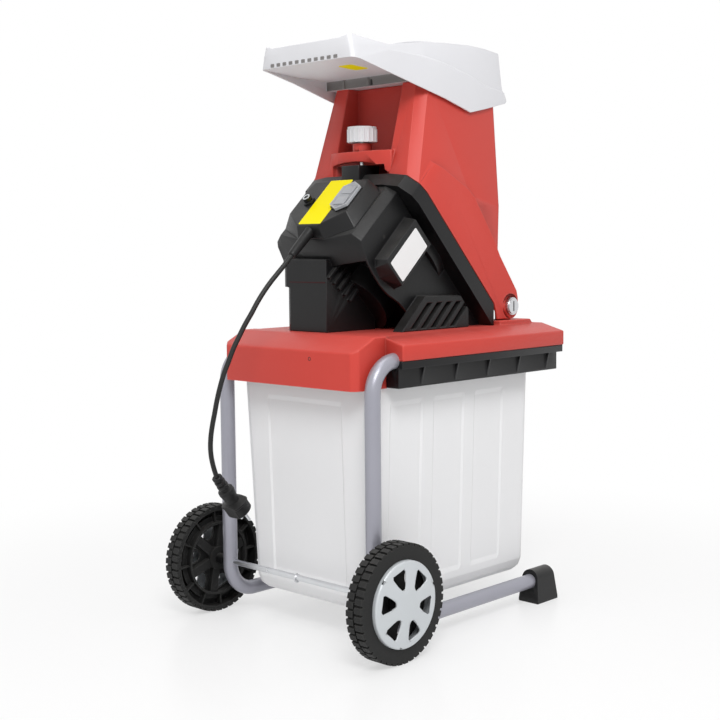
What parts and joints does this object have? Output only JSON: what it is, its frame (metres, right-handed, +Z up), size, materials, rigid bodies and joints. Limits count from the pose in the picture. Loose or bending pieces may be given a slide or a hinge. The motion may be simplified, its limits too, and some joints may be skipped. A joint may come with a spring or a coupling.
{
  "type": "garden shredder",
  "caption": "electric garden shredder on a wheeled tube frame with a tilting feed hopper, slanted knife-disc motor head and slide-out collection box",
  "frame": {"origin": "middle of the footprint on the floor, without the cord", "axes": "+X to the operator's right seen from the switch side, +Y toward the feet and the hinge, +Z up"},
  "size_m": [0.486, 0.6159, 0.983],
  "materials": {
    "red_plastic": "moulded, fine grain",
    "black_plastic": "moulded, fine grain",
    "pale_plastic": "moulded, satin",
    "box_plastic": "translucent, satin",
    "tube_steel": "powder coated, satin",
    "zinc_steel": "zinc plated",
    "tyre": "moulded plastic tread",
    "cap_plastic": "silver painted",
    "clear_boot": "soft, clear",
    "green_plastic": "moulded",
    "stop_red": "moulded",
    "cord_rubber": "soft",
    "motor_steel": "lamination stack",
    "copper": "copper",
    "carbon": "carbon",
    "knife_steel": "ground",
    "brass": "stamped"
  },
  "bodies": {
    "base": {"left_frame_tube": "tube_steel", "right_frame_tube": "tube_steel", "axle": "zinc_steel", "axle_spacers": "black_plastic", "axle_nuts": "zinc_steel", "left_foot": "black_plastic", "right_foot": "black_plastic", "deck_cover": "red_plastic", "left_rail": "black_plastic", "right_rail": "black_plastic", "hinge_bolts": "zinc_steel", "cutter_housing": "black_plastic", "motor_cover": "black_plastic", "control_box": "black_plastic", "lock_socket": "black_plastic", "lock_nut": "zinc_steel", "safety_switch": "black_plastic", "switch_frame": "black_plastic", "switch_boot": "clear_boot", "reset_collar": "black_plastic", "cord_sleeve": "cord_rubber", "cord": "cord_rubber", "plug_body": "cord_rubber", "plug_pins": "zinc_steel", "motor_frame": "motor_steel", "motor_stator": "motor_steel", "front_bearing": "zinc_steel", "rear_bearing": "zinc_steel", "brush_holders": "brass", "carbon_brushes": "carbon"},
    "left_wheel_body": {"left_wheel": "tyre", "left_hub_cap": "cap_plastic"},
    "right_wheel_body": {"right_wheel": "tyre", "right_hub_cap": "cap_plastic"},
    "box_body": {"collection_box": "box_plastic"},
    "hopper_body": {"hopper": "red_plastic", "feed_hood": "pale_plastic"},
    "lock_slider": {"lock_washer": "zinc_steel"},
    "lock_body": {"lock_knob": "pale_plastic", "lock_screw": "zinc_steel"},
    "start_body": {"start_button": "green_plastic"},
    "stop_body": {"stop_button": "stop_red"},
    "reset_body": {"reset_button": "zinc_steel"},
    "cutter_body": {"motor_shaft": "zinc_steel", "rotor_core": "copper", "commutator": "copper", "cooling_fan": "black_plastic", "blade_disc": "motor_steel", "blades": "knife_steel", "blade_screws": "motor_steel", "disc_bolt": "zinc_steel"}
  },
  "joints": [
    {"name": "left_wheel_spin", "type": "hinge", "parent": "base", "child": "left_wheel_body", "pos_m": [-0.216, -0.19075, 0.0935], "axis": [1, 0, 0], "continuous": true},
    {"name": "right_wheel_spin", "type": "hinge", "parent": "base", "child": "right_wheel_body", "pos_m": [0.216, -0.19075, 0.0935], "axis": [1, 0, 0], "continuous": true},
    {"name": "box_slide", "type": "slide", "parent": "base", "child": "box_body", "axis": [0, 1, 0], "range_m": [0, 0.38]},
    {"name": "hopper_tilt", "type": "hinge", "parent": "base", "child": "hopper_body", "pos_m": [0, 0.20925, 0.527], "axis": [-1, 0, 0], "range_deg": [0, 90]},
    {"name": "lock_travel", "type": "slide", "parent": "hopper_body", "child": "lock_slider", "axis": [0, 0, -1], "range_m": [0, 0.012]},
    {"name": "lock_knob_turn", "type": "hinge", "parent": "lock_slider", "child": "lock_body", "pos_m": [0, -0.02975, 0.82], "axis": [0, 0, -1], "range_deg": [0, 1440]},
    {"name": "start_press", "type": "slide", "parent": "base", "child": "start_body", "axis": [0, 0.682, -0.7314], "range_m": [0, 0.0025], "stiffness_N_per_m": 600},
    {"name": "stop_press", "type": "slide", "parent": "base", "child": "stop_body", "axis": [0, 0.682, -0.7314], "range_m": [0, 0.0025], "stiffness_N_per_m": 600},
    {"name": "reset_press", "type": "slide", "parent": "base", "child": "reset_body", "axis": [0, 0.682, -0.7314], "range_m": [0, 0.0025], "stiffness_N_per_m": 600},
    {"name": "cutter_spin", "type": "hinge", "parent": "base", "child": "cutter_body", "pos_m": [0, 0.05925, 0.644], "axis": [0, -0.7314, -0.682], "continuous": true}
  ],
  "couplings": [
    {"joint": "lock_travel", "follows": "lock_knob_turn", "m_per_rad": 0.00047746}
  ]
}
